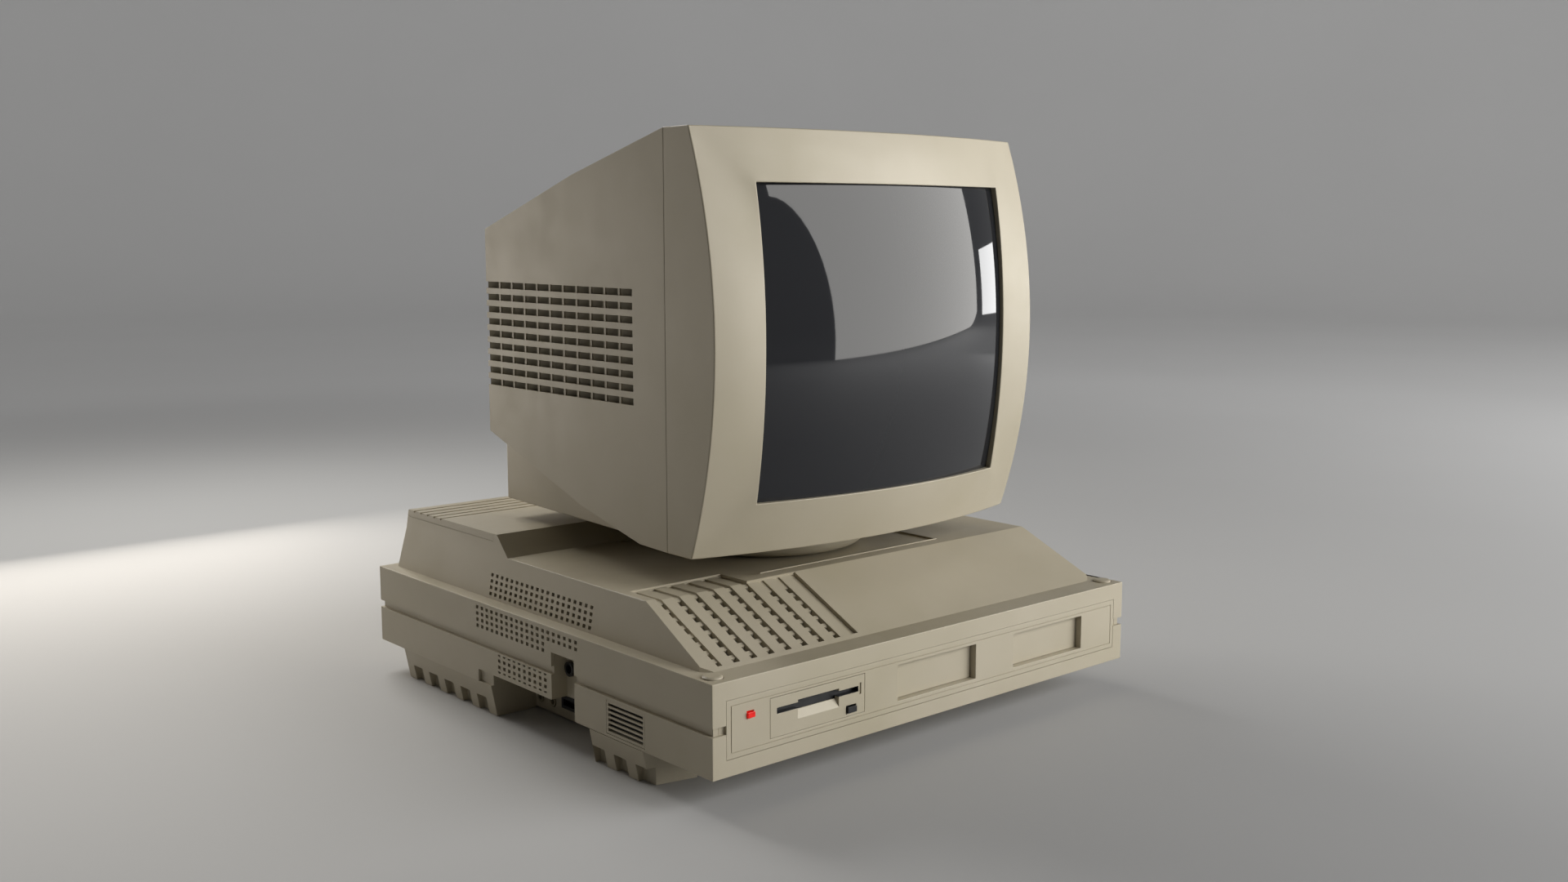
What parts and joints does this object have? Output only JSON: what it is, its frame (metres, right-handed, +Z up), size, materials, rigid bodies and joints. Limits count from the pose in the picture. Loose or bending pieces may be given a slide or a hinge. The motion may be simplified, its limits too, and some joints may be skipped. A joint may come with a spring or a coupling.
{
  "type": "desktop computer with monitor",
  "caption": "Low desktop computer case on short feet with a vented sloping deck, front disk drive and empty bays, carrying a deep tube monitor on a round tilt and swivel dish.",
  "frame": {"origin": "centre of the bounding box in plan, at the underside of the feet, where the computer stands on the desk", "axes": "+X to the right as seen from the front, +Y from the front panel to the rear wall, +Z up; the screen faces -Y"},
  "size_m": [0.505, 0.5385, 0.523],
  "materials": {
    "moulded_beige": "fine spark-eroded texture, warm beige",
    "moulded_dark_beige": "moulded, satin",
    "black_plastic": "moulded, satin black",
    "lamp_red": "clear red lens",
    "plated_steel": "zinc plated sheet and turned steel",
    "painted_steel": "powder coated in the case colour",
    "brass_pins": "bright plated",
    "circuit_board": "glass fibre board under solder mask",
    "tube_glass": "polished dark tinted face glass",
    "copper_winding": "enamelled copper wire bedded in resin"
  },
  "bodies": {
    "case": {"lower_shell": "moulded_beige", "upper_shell": "moulded_beige", "rear_cover": "moulded_beige", "front_panel": "moulded_beige", "bay_blank_left": "moulded_beige", "bay_blank_right": "moulded_beige", "floppy_bezel": "moulded_beige", "floppy_body": "plated_steel", "drive_shelf": "plated_steel", "power_led": "lamp_red", "corner_caps": "moulded_beige", "foot_front_left": "moulded_beige", "foot_front_right": "moulded_beige", "foot_rear_left": "moulded_beige", "foot_rear_right": "moulded_beige", "speaker_louvre": "moulded_beige", "speaker": "black_plastic", "keyboard_jack": "black_plastic", "audio_jacks": "black_plastic", "side_port": "black_plastic", "motherboard": "circuit_board", "board_chips": "black_plastic", "chassis_plate": "plated_steel", "rear_panel": "painted_steel", "port_board": "circuit_board", "rear_ports": "plated_steel", "psu_case": "plated_steel", "fan_frame": "black_plastic", "mains_inlet": "black_plastic", "inlet_pins": "brass_pins", "rocker_frame": "black_plastic", "case_screws": "plated_steel", "small_screws": "plated_steel", "swivel_plate": "plated_steel"},
    "swivel": {"swivel_dish": "moulded_beige", "swivel_clip": "plated_steel", "tilt_keeper": "plated_steel", "keeper_nut": "plated_steel"},
    "monitor": {"monitor_bezel": "moulded_beige", "monitor_housing": "moulded_beige", "crt_tube": "tube_glass", "crt_band": "plated_steel", "deflection_yoke": "copper_winding", "neck_board": "circuit_board", "monitor_board": "circuit_board", "flyback": "black_plastic", "tilt_bowl": "moulded_beige", "monitor_screws": "plated_steel", "control_pots": "plated_steel", "signal_socket": "plated_steel", "monitor_inlet": "black_plastic", "monitor_inlet_pins": "brass_pins"},
    "disk_flap": {"floppy_flap": "black_plastic"},
    "eject": {"eject_button": "black_plastic"},
    "fan": {"fan_rotor": "black_plastic"},
    "rocker": {"power_rocker": "black_plastic"},
    "brightness": {"brightness_knob": "moulded_dark_beige"},
    "contrast": {"contrast_knob": "moulded_dark_beige"}
  },
  "joints": [
    {"name": "monitor_swivel", "type": "hinge", "parent": "case", "child": "swivel", "pos_m": [0, -0.03487, 0.148], "axis": [0, 0, 1], "range_deg": [-45, 45]},
    {"name": "monitor_tilt", "type": "hinge", "parent": "swivel", "child": "monitor", "pos_m": [0, -0.03487, 0.2912], "axis": [1, 0, 0], "range_deg": [-4.5, 8]},
    {"name": "disk_flap_hinge", "type": "hinge", "parent": "case", "child": "disk_flap", "pos_m": [-0.14443, -0.26085, 0.07733], "axis": [1, 0, 0], "range_deg": [0, 75], "stiffness_Nm_per_rad": 0.002, "springref_deg": -20.05},
    {"name": "eject_slide", "type": "slide", "parent": "case", "child": "eject", "axis": [0, 1, 0], "range_m": [0, 0.004], "stiffness_N_per_m": 250, "springref_m": -0.002},
    {"name": "fan_spin", "type": "hinge", "parent": "case", "child": "fan", "pos_m": [0.08975, 0.252, 0.0664], "axis": [0, 1, 0], "continuous": true},
    {"name": "rocker_switch", "type": "hinge", "parent": "case", "child": "rocker", "pos_m": [0.14503, 0.2645, 0.0664], "axis": [1, 0, 0], "range_deg": [0, 16]},
    {"name": "brightness_turn", "type": "hinge", "parent": "monitor", "child": "brightness", "pos_m": [0.0766, 0.14889, 0.27244], "axis": [0, 1, 0], "range_deg": [-135, 135]},
    {"name": "contrast_turn", "type": "hinge", "parent": "monitor", "child": "contrast", "pos_m": [0.1149, 0.14889, 0.27244], "axis": [0, 1, 0], "range_deg": [-135, 135]}
  ]
}
